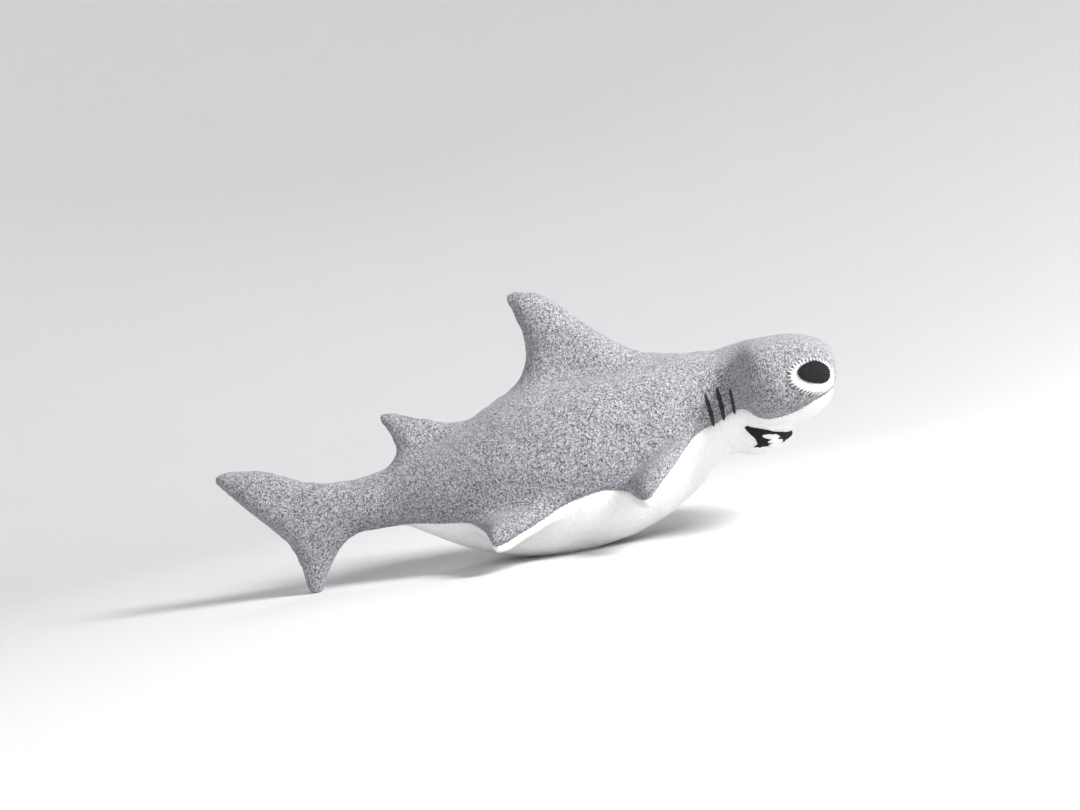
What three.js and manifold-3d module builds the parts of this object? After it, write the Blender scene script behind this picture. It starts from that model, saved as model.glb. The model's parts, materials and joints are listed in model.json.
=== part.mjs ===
// Stuffed hammerhead shark, sewn from grey and white fleece.
// Millimetres, +Z up, +X to the nose, +Y to the shark's left side.
// The origin is under the middle of the toy, on the surface that the belly rests on.
import * as THREE from 'three';
import { mergeVertices } from 'three/addons/utils/BufferGeometryUtils.js';
import Module from 'manifold-3d';

const wasm = await Module();
wasm.setup();

// ---------------------------------------------------------------- driving dimensions

const FLEECE = 2.2;            // thickness of a fleece panel
const FELT = 1.2;              // thickness of a felt piece
const SEAM_GAP = 1.1;          // half the space between two panels, which the thread fills
const STUFFING_GAP = 2.7;      // space between the fleece and the stuffing
const WAD_GAP = 0.5;           // space between two wads of stuffing
const FELT_GAP = 0.6;          // space between a felt piece and what it is sewn on
const THREAD = 0.4;            // thickness of a sewing thread
const THREAD_DEPTH = 1.0;      // depth of the seam threads under the surface
const GILL_WIDTH = 1.5;        // width of a satin-stitched gill line

const TAIL_HINGE_X = -97;      // where the tail stem is thinnest
const TAIL_HINGE_RADIUS = 8.6; // round end of the tail's stuffing
const BELLY_END_X = -77;       // rear point of the white belly panel

// Trunk, as x, top, bottom and half width.
const TRUNK = [
  [-112, 55, 35, 8],
  [-97, 56.5, 32, 11],
  [-77, 60.5, 29.5, 14.5],
  [-57, 69, 20.5, 21],
  [-37, 77.5, 10, 28],
  [-12, 88, 1.5, 35],
  [18, 97, -2, 39.5],
  [48, 99, -2, 40],
  [60, 99, -0.8, 39],
  [73, 99, 6.5, 37.5],
  [91, 98.5, 24.5, 33],
  [104, 98.5, 36, 30],
  [117, 98.5, 41, 29],
  [135, 98, 46, 31],
  [150, 97, 51, 32],
];
const TRUNK_ROUNDNESS = 2.2;
const SNOUT_X = 150;           // where the snout starts to close
const SNOUT_LENGTH = 22;
const STEM_LENGTH = 8;         // how far the trunk reaches into the tail fin behind its last section

// Cross head: a rounded bar along Y whose ends sweep back a little.
const HAMMER = { x: 144, z: 75, halfX: 26.5, halfY: 62, halfZ: 23, sweep: 4, round: 2.5, end: 4 };
const CHIN = { x: 130, z: 50, halfX: 17, halfY: 27, halfZ: 14.5 };

// Fins in the middle plane: outline as x, z; half thickness at the lowest and highest z.
const DORSAL_FIN = {
  outline: [[96, 92], [74, 102.5], [58, 113.5], [38, 132.5], [24.5, 144.5], [10.5, 150], [0, 149], [-1.5, 144.5],
    [2, 136.5], [7.2, 121], [7, 106], [-2, 93.5], [-22, 78], [20, 62], [80, 68]],
  thickness: [[96, 15], [122, 9.5], [149, 6]],
  edge: 16,
};
const REAR_DORSAL_FIN = {
  outline: [[-30, 76], [-42, 82.3], [-60, 89.8], [-73, 93], [-79.5, 91.5], [-79, 88], [-75.5, 81], [-71.7, 72],
    [-75, 62.5], [-84, 52], [-50, 50]],
  thickness: [[66, 9], [92, 5.5]],
  edge: 10,
};
const TAIL_FIN = {
  outline: [[-80, 56], [-102, 56.5], [-122, 60.4], [-146, 71], [-161, 74.4], [-172, 74.4], [-172, 68.5],
    [-160.6, 53.7], [-145, 38], [-137.5, 28], [-133.5, 16], [-131, 5], [-127, 3], [-122.5, 8],
    [-112, 21.8], [-97, 31.7], [-80, 36]],
  thickness: [[3, 5.5], [44, 10], [75, 5.5]],
  edge: 13,
};

// Fins on the belly seam: outline as x and distance from the middle plane.
const PECTORAL_FIN = {
  outline: [[102, 24], [92, 34], [78, 46.5], [65, 55.5], [58.5, 57.5], [55, 54], [51, 43], [46, 24]],
  thickness: 8.5,
  edge: 14,
};
const PELVIC_FIN = {
  outline: [[34, 22], [14, 37], [-6, 45.5], [-19, 49.5], [-25, 48.5], [-28, 40], [-34, 18]],
  thickness: 7.5,
  edge: 12,
};

// Belly seam: its height at the trunk, and how steeply it droops along the fins.
const SEAM_HEIGHT = [[-92, 31.2], [-77, 30], [-62, 29], [-32, 25], [-2, 26], [28, 31], [48, 32], [60, 35.5],
  [78, 46], [93, 54], [106, 58.5], [116, 60], [126, 57.5], [142, 59.8], [161, 65.8], [175, 69]];
const SEAM_DROOP = [[-60, 0], [-40, 0.35], [-22, 0.58], [5, 0.5], [30, 0.25], [60, 0.3], [90, 0.2], [108, 0]];
const SEAM_ROOT = [[-60, 17], [-23, 27], [10, 33], [45, 36], [90, 31], [120, 29]];

// Stuffing opening in the left belly seam, closed by hand.
const CLOSING = { from: -64, to: -28 };
const NECK_X = 115.3;           // between the head's and the trunk's stuffing
const DORSAL_ROOT_Z = 101.2;    // between the trunk's and the dorsal fin's stuffing

// Face pieces. Outlines are as seen from the side.
const OVAL_STEPS = 24;
const STITCH_REACH = 0.9;      // from a felt piece's edge to the thread that holds it
const EYE = { x: 148.3, y: -56, z: 75, turn: 0.42 };
const EYE_PATCH = { halfWidth: 12.1, halfHeight: 8.2 };
const PUPIL = { halfWidth: 8.4, halfHeight: 5.4, rise: 1.2 };
const MOUTH = [[118.5, 53.4], [121, 49], [123.3, 45], [121.8, 41.6], [156, 41.2], [156, 43.6], [144, 46.4],
  [128, 51]];
const TEETH = [[127, 47.5], [130.2, 45.8], [128.2, 44.7], [130.6, 43.5], [129.2, 41.8], [135.3, 41.8],
  [134.3, 43.4], [136.6, 44], [134.6, 45.2], [137.4, 46.3], [132, 47.4]];
const GILLS = [
  { name: 'rear', x: 99.8, top: 73, bottom: 57.7, lean: 1.3 },
  { name: 'middle', x: 106.4, top: 75.4, bottom: 60, lean: 0.7 },
  { name: 'front', x: 112.5, top: 74.2, bottom: 61.7, lean: 0.8 },
];

const BLEND = 7;               // how softly the fins and the head flow into the trunk
const TRACE_STEP = 0.7;        // step in which a seam is followed
const MOST_STEPS = 2000;
const LONGEST_STRETCH = 6;     // longest straight stretch of a seam thread
const TURN = Math.cos(0.3);    // and the turn that ends one sooner
const SLIVER = 0.1;            // narrower faces than this are merged after a cut

const COLOURS = {
  greyFleece: new THREE.MeshStandardMaterial({ color: '#a7a6ad', roughness: 0.95, metalness: 0 }),
  whiteFleece: new THREE.MeshStandardMaterial({ color: '#f6f1ec', roughness: 0.95, metalness: 0 }),
  whiteFelt: new THREE.MeshStandardMaterial({ color: '#f7f5f2', roughness: 0.9, metalness: 0 }),
  blackFelt: new THREE.MeshStandardMaterial({ color: '#2d2c31', roughness: 0.85, metalness: 0 }),
  blackThread: new THREE.MeshStandardMaterial({ color: '#1d1c20', roughness: 0.6, metalness: 0 }),
  whiteThread: new THREE.MeshStandardMaterial({ color: '#f2f0ec', roughness: 0.6, metalness: 0 }),
  greyThread: new THREE.MeshStandardMaterial({ color: '#9a99a0', roughness: 0.6, metalness: 0 }),
  stuffing: new THREE.MeshStandardMaterial({ color: '#f4f4f2', roughness: 1, metalness: 0 }),
};

// ---------------------------------------------------------------- curves and outlines

// A smooth curve through points [x, value], flat beyond both ends.
function smoothCurve(points) {
  const last = points.length - 1;
  const slope = points.map((p, i) => {
    if (i === 0 || i === last) return 0;
    return (points[i + 1][1] - points[i - 1][1]) / (points[i + 1][0] - points[i - 1][0]);
  });
  return (x) => {
    if (x <= points[0][0]) return points[0][1];
    if (x >= points[last][0]) return points[last][1];
    let i = 0;
    while (x > points[i + 1][0]) i += 1;
    const width = points[i + 1][0] - points[i][0];
    const t = (x - points[i][0]) / width;
    const rest = 1 - t;
    return points[i][1] * (1 + 2 * t) * rest * rest
      + slope[i] * width * t * rest * rest
      + points[i + 1][1] * t * t * (3 - 2 * t)
      - slope[i + 1] * width * t * t * rest;
  };
}

// A closed outline with rounded stretches, as a list of 2-D points.
function roundOutline(points, stepsPerPoint = 4) {
  const closed = [...points, points[0]].map(([a, b]) => new THREE.Vector2(a, b));
  return new THREE.SplineCurve(closed).getPoints(points.length * stepsPerPoint).slice(0, -1);
}

// Distance from a 2-D point to an outline, positive inside.
function depthInside(outline, a, b) {
  let nearest = Infinity;
  let inside = false;
  for (let i = 0, j = outline.length - 1; i < outline.length; j = i, i += 1) {
    const p = outline[i];
    const q = outline[j];
    const ea = q.x - p.x;
    const eb = q.y - p.y;
    const t = Math.min(1, Math.max(0, ((a - p.x) * ea + (b - p.y) * eb) / (ea * ea + eb * eb)));
    nearest = Math.min(nearest, Math.hypot(a - p.x - ea * t, b - p.y - eb * t));
    if ((p.y > b) !== (q.y > b) && a < p.x + ((b - p.y) / eb) * ea) inside = !inside;
  }
  return inside ? nearest : -nearest;
}

// ---------------------------------------------------------------- the toy's outer shape
// Each function gives roughly the depth under its surface in mm, and is negative outside.

const trunkTop = smoothCurve(TRUNK.map(([x, top]) => [x, top]));
const trunkBottom = smoothCurve(TRUNK.map(([x, , bottom]) => [x, bottom]));
const trunkWidth = smoothCurve(TRUNK.map(([x, , , width]) => [x, width]));
const seamHeight = smoothCurve(SEAM_HEIGHT);
const seamDroop = smoothCurve(SEAM_DROOP);
const seamRoot = smoothCurve(SEAM_ROOT);

const seamSurface = (x, y) => seamHeight(x) - seamDroop(x) * Math.max(0, Math.abs(y) - seamRoot(x));

function trunk(x, y, z) {
  const middle = (trunkTop(x) + trunkBottom(x)) / 2;
  const closing = Math.max(0, (x - SNOUT_X) / SNOUT_LENGTH, (TRUNK[0][0] - x) / STEM_LENGTH);
  const halfHeight = (trunkTop(x) - trunkBottom(x)) / 2;
  const halfWidth = trunkWidth(x);
  const section = Math.hypot(
    (Math.abs(y / halfWidth) ** TRUNK_ROUNDNESS + Math.abs((z - middle) / halfHeight) ** TRUNK_ROUNDNESS)
      ** (1 / TRUNK_ROUNDNESS),
    closing,
  );
  return Math.min(halfWidth, halfHeight) * (1 - section);
}

// Depth in a rounded lump: size is 1 on its surface, and across, along and up are in half sizes.
function lumpDepth(lump, size, across, along, up) {
  const steepness = Math.hypot(across / lump.halfX, along / lump.halfY, up / lump.halfZ);
  return (size * (1 - size)) / Math.max(steepness, 1e-6);
}

function hammer(x, y, z) {
  const along = Math.abs(y) / HAMMER.halfY;
  const across = Math.abs(x - HAMMER.x + HAMMER.sweep * along * along) / HAMMER.halfX;
  const up = Math.abs(z - HAMMER.z) / HAMMER.halfZ;
  const section = (across ** HAMMER.round + up ** HAMMER.round) ** (1 / HAMMER.round);
  const size = (section ** HAMMER.end + along ** HAMMER.end) ** (1 / HAMMER.end);
  return lumpDepth(HAMMER, size, across, along, up);
}

function chin(x, y, z) {
  const across = (x - CHIN.x) / CHIN.halfX;
  const along = y / CHIN.halfY;
  const up = (z - CHIN.z) / CHIN.halfZ;
  return lumpDepth(CHIN, Math.hypot(across, along, up), across, along, up);
}

// A stuffed fin: off is the distance from its middle surface, depth the distance inside its outline.
function pillow(off, depth, thickness, edge) {
  return thickness * (1 - Math.hypot(off / thickness, Math.max(0, 1 - depth / edge)));
}

function uprightFin(fin) {
  const outline = roundOutline(fin.outline);
  const thickness = smoothCurve(fin.thickness);
  return (x, y, z) => pillow(y, depthInside(outline, x, z), thickness(z), fin.edge);
}

function seamFin(fin) {
  const outline = roundOutline(fin.outline);
  return (x, y, z) => pillow(z - seamSurface(x, y), depthInside(outline, x, Math.abs(y)), fin.thickness, fin.edge);
}

const SHAPES = [
  trunk, hammer, chin,
  uprightFin(DORSAL_FIN), uprightFin(REAR_DORSAL_FIN), uprightFin(TAIL_FIN),
  seamFin(PECTORAL_FIN), seamFin(PELVIC_FIN),
];

function shark(x, y, z) {
  let depth = -Infinity;
  for (const shape of SHAPES) {
    const next = shape(x, y, z);
    const near = Math.max(0, BLEND - Math.abs(depth - next));
    depth = Math.max(depth, next) + (near * near) / (4 * BLEND);
  }
  return depth;
}

function slopeOf(field, x, y, z) {
  const h = 0.05;
  return new THREE.Vector3(
    field(x + h, y, z) - field(x - h, y, z),
    field(x, y + h, z) - field(x, y - h, z),
    field(x, y, z + h) - field(x, y, z - h),
  ).divideScalar(2 * h);
}

// ---------------------------------------------------------------- from the shape to solids

const CELL = 7;                // size of the cells that the outer surface is found in
const HIDDEN_CELL = 9.4;        // and the surfaces inside the toy
const WHOLE = { low: [-196, -84, -24], high: [196, 84, 172] };

// The surface where field equals level, as one vertex in each cell that it passes through.
function surfaceGeometry(field, level, cell, { low, high }) {
  const count = low.map((v, axis) => Math.ceil((high[axis] - v) / cell) + 1);
  const at = (i, j, k) => (k * count[1] + j) * count[0] + i;
  const place = (axis, index) => low[axis] + ((high[axis] - low[axis]) * index) / (count[axis] - 1);
  const values = new Float64Array(count[0] * count[1] * count[2]);
  for (let k = 0; k < count[2]; k += 1) {
    for (let j = 0; j < count[1]; j += 1) {
      for (let i = 0; i < count[0]; i += 1) {
        values[at(i, j, k)] = field(place(0, i), place(1, j), place(2, k)) - level;
      }
    }
  }
  const points = [];
  const pointOf = new Map();
  const size = [0, 1, 2].map((axis) => place(axis, 1) - place(axis, 0));
  for (let k = 0; k < count[2] - 1; k += 1) {
    for (let j = 0; j < count[1] - 1; j += 1) {
      for (let i = 0; i < count[0] - 1; i += 1) {
        const crossing = cellCrossing(values, at, i, j, k);
        if (!crossing) continue;
        const point = new THREE.Vector3(
          place(0, i) + crossing.x * size[0],
          place(1, j) + crossing.y * size[1],
          place(2, k) + crossing.z * size[2],
        );
        pointOf.set(at(i, j, k), points.length / 3);
        points.push(...pullToSurface(field, level, point, 0.5 * cell).toArray());
      }
    }
  }
  const faces = [];
  const quad = (a, b, c, d, flip) => {
    const corners = [a, b, c, d].map((index) => pointOf.get(index));
    if (flip) corners.reverse();
    faces.push(corners[0], corners[1], corners[2], corners[0], corners[2], corners[3]);
  };
  for (let k = 1; k < count[2] - 1; k += 1) {
    for (let j = 1; j < count[1] - 1; j += 1) {
      for (let i = 1; i < count[0] - 1; i += 1) {
        const here = values[at(i, j, k)] > 0;
        if (here !== values[at(i + 1, j, k)] > 0) {
          quad(at(i, j - 1, k - 1), at(i, j, k - 1), at(i, j, k), at(i, j - 1, k), !here);
        }
        if (here !== values[at(i, j + 1, k)] > 0) {
          quad(at(i - 1, j, k - 1), at(i - 1, j, k), at(i, j, k), at(i, j, k - 1), !here);
        }
        if (here !== values[at(i, j, k + 1)] > 0) {
          quad(at(i - 1, j - 1, k), at(i, j - 1, k), at(i, j, k), at(i - 1, j, k), !here);
        }
      }
    }
  }
  const geometry = new THREE.BufferGeometry();
  geometry.setAttribute('position', new THREE.Float32BufferAttribute(points, 3));
  geometry.setIndex(faces);
  return geometry;
}

// Mean of the points where the surface crosses a cell's edges, in cell units.
function cellCrossing(values, at, i, j, k) {
  const sum = new THREE.Vector3();
  let crossings = 0;
  const corner = (n) => values[at(i + (n & 1), j + ((n >> 1) & 1), k + ((n >> 2) & 1))];
  for (let from = 0; from < 8; from += 1) {
    for (let bit = 1; bit < 8; bit *= 2) {
      if (from & bit) continue;
      const a = corner(from);
      const b = corner(from | bit);
      if (a > 0 === b > 0) continue;
      const t = a / (a - b);
      sum.x += (from & 1) + (bit === 1 ? t : 0);
      sum.y += ((from >> 1) & 1) + (bit === 2 ? t : 0);
      sum.z += ((from >> 2) & 1) + (bit === 4 ? t : 0);
      crossings += 1;
    }
  }
  return crossings ? sum.divideScalar(crossings) : null;
}

function pullToSurface(field, level, point, reach) {
  const moved = point.clone();
  for (let round = 0; round < 4; round += 1) {
    const slope = slopeOf(field, moved.x, moved.y, moved.z);
    const error = level - field(moved.x, moved.y, moved.z);
    moved.addScaledVector(slope, error / Math.max(0.1, slope.lengthSq()));
  }
  return moved.distanceTo(point) > reach ? point : moved;
}

function solidOf(geometry) {
  const plain = geometry.clone();
  for (const name of Object.keys(plain.attributes)) {
    if (name !== 'position') plain.deleteAttribute(name);
  }
  const merged = mergeVertices(plain, 1e-4);
  return new wasm.Manifold(new wasm.Mesh({
    numProp: 3,
    vertProperties: Float32Array.from(merged.attributes.position.array),
    triVerts: Uint32Array.from(merged.index.array),
  }));
}

function geometryOf(solid) {
  const { vertProperties, triVerts } = solid.simplify(SLIVER).getMesh();
  const geometry = new THREE.BufferGeometry();
  geometry.setAttribute('position', new THREE.Float32BufferAttribute(vertProperties, 3));
  geometry.setIndex([...triVerts]);
  const split = geometry.toNonIndexed();
  split.computeVertexNormals();
  return split;
}

function block(lowX, highX, lowY, highY, lowZ, highZ) {
  const geometry = new THREE.BoxGeometry(highX - lowX, highY - lowY, highZ - lowZ);
  geometry.translate((lowX + highX) / 2, (lowY + highY) / 2, (lowZ + highZ) / 2);
  return solidOf(geometry);
}

// Everything under the belly seam, raised by lift.
function underSeam(lift) {
  const lengthSteps = 54;
  const widthSteps = 12;
  const lowX = BELLY_END_X - lift;
  const geometry = new THREE.BoxGeometry(190 - lowX, 160, 1, lengthSteps, widthSteps, 1);
  geometry.translate((190 + lowX) / 2, 0, 0);
  const position = geometry.attributes.position;
  for (let i = 0; i < position.count; i += 1) {
    const top = seamSurface(position.getX(i), position.getY(i)) + lift;
    position.setZ(i, position.getZ(i) > 0 ? top : -30);
  }
  return solidOf(geometry);
}

const outer = solidOf(surfaceGeometry(shark, 0, CELL, WHOLE));
const lining = solidOf(surfaceGeometry(shark, FLEECE, HIDDEN_CELL, WHOLE));

const aboveFloor = (height) => block(-200, 200, -90, 90, height, 200);
const skin = outer.intersect(aboveFloor(0)).subtract(lining.intersect(aboveFloor(FLEECE)));

// The stuffing inside a space, with a finer surface where the toy is thin.
function stuffingIn(space, cell) {
  const core = solidOf(surfaceGeometry(shark, FLEECE + STUFFING_GAP, cell, WHOLE));
  return core.intersect(aboveFloor(FLEECE + STUFFING_GAP)).intersect(space);
}

// ---------------------------------------------------------------- the pieces

const toy = new THREE.Group();

function addPiece(name, geometry, material) {
  const piece = new THREE.Mesh(geometry, material);
  piece.name = name;
  toy.add(piece);
}

const SIDES = [
  { name: 'left', sign: 1 },
  { name: 'right', sign: -1 },
];

function addPanels() {
  const sides = skin.subtract(underSeam(SEAM_GAP));
  const left = sides.intersect(block(-200, 200, SEAM_GAP, 90, -30, 200));
  const right = sides.intersect(block(-200, 200, -90, -SEAM_GAP, -30, 200));
  const belly = skin.intersect(underSeam(-SEAM_GAP));
  addPiece('left_side_panel', geometryOf(left), COLOURS.greyFleece);
  addPiece('right_side_panel', geometryOf(right), COLOURS.greyFleece);
  addPiece('belly_panel', geometryOf(belly), COLOURS.whiteFleece);
}

// Loose stuffing is pushed into each part of the skin as a wad of its own.
function addStuffing() {
  const hinge = new THREE.CylinderGeometry(TAIL_HINGE_RADIUS, TAIL_HINGE_RADIUS, 200, 24);
  hinge.rotateX(Math.PI / 2).translate(TAIL_HINGE_X, 0, 60);
  const tailSpace = block(-200, TAIL_HINGE_X, -90, 90, -30, 200).add(solidOf(hinge));
  const bodyFront = NECK_X - WAD_GAP / 2;
  const bodyRear = TAIL_HINGE_X + TAIL_HINGE_RADIUS + WAD_GAP;
  const finFloor = DORSAL_ROOT_Z + WAD_GAP;
  const wads = {
    head_stuffing: [block(NECK_X + WAD_GAP / 2, 200, -90, 90, -30, 200), HIDDEN_CELL],
    body_stuffing: [block(bodyRear, bodyFront, -90, 90, -30, DORSAL_ROOT_Z), HIDDEN_CELL],
    dorsal_fin_stuffing: [block(-20, bodyFront, -90, 90, finFloor, 200), HIDDEN_CELL],
    tail_stuffing: [tailSpace, CELL],
  };
  for (const [name, [space, cell]] of Object.entries(wads)) {
    addPiece(name, geometryOf(stuffingIn(space, cell)), COLOURS.stuffing);
  }
}

// A thread laid along points, square in section.
function threadGeometry(points, closed = false) {
  const path = new THREE.CatmullRomCurve3(points, closed, 'centripetal');
  const half = THREAD / 2;
  const section = new THREE.Shape([
    new THREE.Vector2(-half, -half),
    new THREE.Vector2(half, -half),
    new THREE.Vector2(half, half),
    new THREE.Vector2(-half, half),
  ]);
  return new THREE.ExtrudeGeometry(section, { steps: points.length - 1, extrudePath: path });
}

// Points along the curve where a 2-D field is zero, from start to where done says so.
function traceLine(field, start, heading, done) {
  const gradient = (p) => {
    const h = 0.05;
    return new THREE.Vector2(
      field(p.x + h, p.y) - field(p.x - h, p.y),
      field(p.x, p.y + h) - field(p.x, p.y - h),
    ).divideScalar(2 * h);
  };
  const settle = (p) => {
    for (let round = 0; round < 5; round += 1) {
      const slope = gradient(p);
      p.addScaledVector(slope, -field(p.x, p.y) / Math.max(0.02, slope.lengthSq()));
    }
    return p;
  };
  const points = [settle(start.clone())];
  let direction = heading.clone();
  while (!done(points.at(-1)) && points.length < MOST_STEPS) {
    const slope = gradient(points.at(-1));
    const along = new THREE.Vector2(-slope.y, slope.x).normalize();
    if (along.dot(direction) < 0) along.negate();
    direction = along;
    points.push(settle(points.at(-1).clone().addScaledVector(along, TRACE_STEP)));
  }
  return thinOut(points);
}

// The points where a line has turned or run far enough since the last one.
function thinOut(points) {
  const kept = [points[0]];
  let heading = null;
  for (let i = 1; i < points.length; i += 1) {
    const next = points[i].clone().sub(points[i - 1]).normalize();
    heading ??= next;
    const run = points[i].distanceTo(kept.at(-1));
    if (i === points.length - 1 || run > LONGEST_STRETCH || (run > 1.5 && next.dot(heading) < TURN)) {
      kept.push(points[i]);
      heading = next;
    }
  }
  return kept;
}

function addSeamThreads() {
  const depth = THREAD_DEPTH;
  const ridge = (x, z) => shark(x, 0, z) - depth;
  const onRidge = (p) => new THREE.Vector3(p.x, 0, p.y);
  const snout = new THREE.Vector2(HAMMER.x + HAMMER.halfX, seamHeight(180) + 6);
  const back = traceLine(ridge, snout, new THREE.Vector2(0, 1), (p) => p.x < TAIL_HINGE_X + 3);
  addPiece('back_seam_thread', threadGeometry(back.map(onRidge)), COLOURS.greyThread);

  const stemTop = new THREE.Vector2(TAIL_HINGE_X - 2, trunkTop(TAIL_HINGE_X));
  const around = traceLine(ridge, stemTop, new THREE.Vector2(-1, 0), (p) => p.x > TAIL_HINGE_X - 3 && p.y < 40);
  addPiece('tail_seam_thread', threadGeometry(around.map(onRidge)), COLOURS.greyThread);

  const rim = (x, y) => shark(x, y, seamSurface(x, y)) - depth;
  const rear = new THREE.Vector2(BELLY_END_X + 5, 3);
  const edge = traceLine(rim, rear, new THREE.Vector2(1, 1), (p) => p.y < 2 && p.x > 100);
  const stretches = {
    left: [
      ['left_belly_seam_rear_thread', -200, CLOSING.from - 1],
      ['closing_stitch_thread', CLOSING.from, CLOSING.to],
      ['left_belly_seam_front_thread', CLOSING.to + 1, 200],
    ],
    right: [['right_belly_seam_thread', -200, 200]],
  };
  for (const side of SIDES) {
    for (const [name, from, to] of stretches[side.name]) {
      const points = edge
        .filter((p) => p.x > from && p.x < to)
        .map((p) => new THREE.Vector3(p.x, side.sign * p.y, seamSurface(p.x, p.y)));
      addPiece(name, threadGeometry(points), COLOURS.greyThread);
    }
  }
}

// ---------------------------------------------------------------- the face

// A layer over the whole skin, between two heights above it.
function layerOver(low, high) {
  const upTo = (height) => solidOf(surfaceGeometry(shark, -height, CELL, WHOLE));
  return upTo(high).subtract(upTo(low));
}

const feltLayer = layerOver(FELT_GAP, FELT_GAP + FELT);
const topLayer = layerOver(2 * FELT_GAP + FELT, 2 * FELT_GAP + 2 * FELT);

// An outline drawn as (across, up), pushed through the skin where it is placed.
function punch(outline, place, reach = 14) {
  const geometry = new THREE.ExtrudeGeometry(new THREE.Shape(outline), { depth: 2 * reach, bevelEnabled: false });
  geometry.translate(0, 0, -reach);
  geometry.rotateX(Math.PI / 2);
  geometry.rotateZ(place.turn ?? 0);
  geometry.translate(place.x, place.y ?? 0, place.z);
  return solidOf(geometry);
}

// The point over the skin at (across, up) from a place, seen along the place's own direction.
function pointOver(place, across, up, height) {
  const out = new THREE.Vector3(Math.sin(place.turn), -Math.cos(place.turn), 0);
  const sideways = new THREE.Vector3(Math.cos(place.turn), Math.sin(place.turn), 0);
  const point = new THREE.Vector3(place.x, place.y, place.z + up).addScaledVector(sideways, across);
  point.addScaledVector(out, 20);
  while (shark(point.x, point.y, point.z) < -height) point.addScaledVector(out, -0.1);
  return point;
}

function ovalOutline({ halfWidth, halfHeight, rise = 0 }, grow = 0) {
  const points = [];
  for (let i = 0; i < OVAL_STEPS; i += 1) {
    const angle = (2 * Math.PI * i) / OVAL_STEPS;
    points.push(new THREE.Vector2(
      (halfWidth + grow) * Math.cos(angle),
      rise + (halfHeight + grow) * Math.sin(angle),
    ));
  }
  return points;
}

// Pieces of one side are made on the right, and mirrored for the left.
function addPair(name, geometry, material) {
  for (const side of SIDES) {
    const piece = new THREE.Mesh(geometry, material);
    piece.name = `${side.name}_${name}`;
    piece.scale.y = -side.sign;
    toy.add(piece);
  }
}

function addEyes() {
  addPair('eye_patch', geometryOf(feltLayer.intersect(punch(ovalOutline(EYE_PATCH), EYE))), COLOURS.whiteFelt);
  addPair('pupil', geometryOf(topLayer.intersect(punch(ovalOutline(PUPIL), EYE))), COLOURS.blackFelt);
  const ring = (oval, grow, height) => ovalOutline(oval, grow).map((p) => pointOver(EYE, p.x, p.y, height));
  const besidePatch = ring(EYE_PATCH, STITCH_REACH, FELT_GAP);
  const besidePupil = ring(PUPIL, STITCH_REACH, 2 * FELT_GAP + FELT);
  addPair('eye_patch_thread', threadGeometry(besidePatch), COLOURS.whiteThread);
  addPair('pupil_thread', threadGeometry(besidePupil), COLOURS.blackThread);
}

function addMouth() {
  const outline = MOUTH.map(([x, z]) => new THREE.Vector2(x, z));
  const band = feltLayer.intersect(punch(outline, { x: 0, z: 0 }, 45));
  addPiece('mouth', geometryOf(band), COLOURS.blackFelt);
  const teeth = topLayer.intersect(punch(TEETH.map(([x, z]) => new THREE.Vector2(x, z)), { x: 0, y: -40, z: 0 }, 35));
  addPair('teeth', geometryOf(teeth), COLOURS.whiteFelt);
}

function addGills() {
  for (const gill of GILLS) {
    const half = GILL_WIDTH / 2;
    const bar = [
      [gill.x - half, gill.top], [gill.x + half, gill.top],
      [gill.x + gill.lean + half, gill.bottom], [gill.x + gill.lean - half, gill.bottom],
    ].map(([x, z]) => new THREE.Vector2(x, z));
    const stitch = feltLayer.intersect(punch(bar.reverse(), { x: 0, y: -40, z: 0 }, 25));
    addPair(`${gill.name}_gill_stitch`, geometryOf(stitch), COLOURS.blackThread);
  }
}

addPanels();
addStuffing();
addSeamThreads();
addEyes();
addMouth();
addGills();

export default toy;
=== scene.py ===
"""Looks of a stuffed hammerhead shark, sewn from grey and white fleece.

Shapes are worked out in millimetres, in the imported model's frame: +X to the nose, +Y to the shark's
left side, +Z up, with the belly resting on z = 0. They are turned into metres when a mesh is made.
"""
import json
import math

import bmesh
import bpy
import numpy as np
from mathutils import Matrix, Vector, geometry, noise
from mathutils.bvhtree import BVHTree


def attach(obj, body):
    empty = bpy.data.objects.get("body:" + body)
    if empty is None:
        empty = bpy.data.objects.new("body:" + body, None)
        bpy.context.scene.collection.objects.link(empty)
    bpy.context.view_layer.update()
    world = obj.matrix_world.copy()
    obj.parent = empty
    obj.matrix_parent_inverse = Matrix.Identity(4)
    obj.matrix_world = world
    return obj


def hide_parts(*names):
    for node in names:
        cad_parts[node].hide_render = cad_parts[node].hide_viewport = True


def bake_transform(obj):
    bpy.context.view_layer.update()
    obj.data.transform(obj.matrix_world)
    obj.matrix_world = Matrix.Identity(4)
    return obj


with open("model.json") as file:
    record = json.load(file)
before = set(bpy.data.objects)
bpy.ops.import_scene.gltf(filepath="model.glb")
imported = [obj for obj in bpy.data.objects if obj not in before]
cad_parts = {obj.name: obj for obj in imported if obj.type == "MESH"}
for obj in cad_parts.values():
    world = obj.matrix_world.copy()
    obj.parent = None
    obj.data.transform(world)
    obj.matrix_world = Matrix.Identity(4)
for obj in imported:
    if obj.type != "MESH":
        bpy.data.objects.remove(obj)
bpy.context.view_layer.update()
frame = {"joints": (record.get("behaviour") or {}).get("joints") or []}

MM = 0.001
HINGE = frame["joints"][0]["pos_m"]
BODY, TAIL = "body", "tail"

# ------------------------------------------------------------------ driving dimensions, in mm

FLEECE = 1.8                 # thickness of a fleece panel
FELT = 1.3                   # thickness of a felt piece
CELL = 3.0                   # size of the cells that the skin's surface is found in
SLACK = 1.4                  # how much smaller the skin is cut than it is when stuffed
MOST_SWELL = 2.6             # furthest that the stuffing may push the skin out
BELLY_END_X = -77            # rear point of the white belly panel

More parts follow.
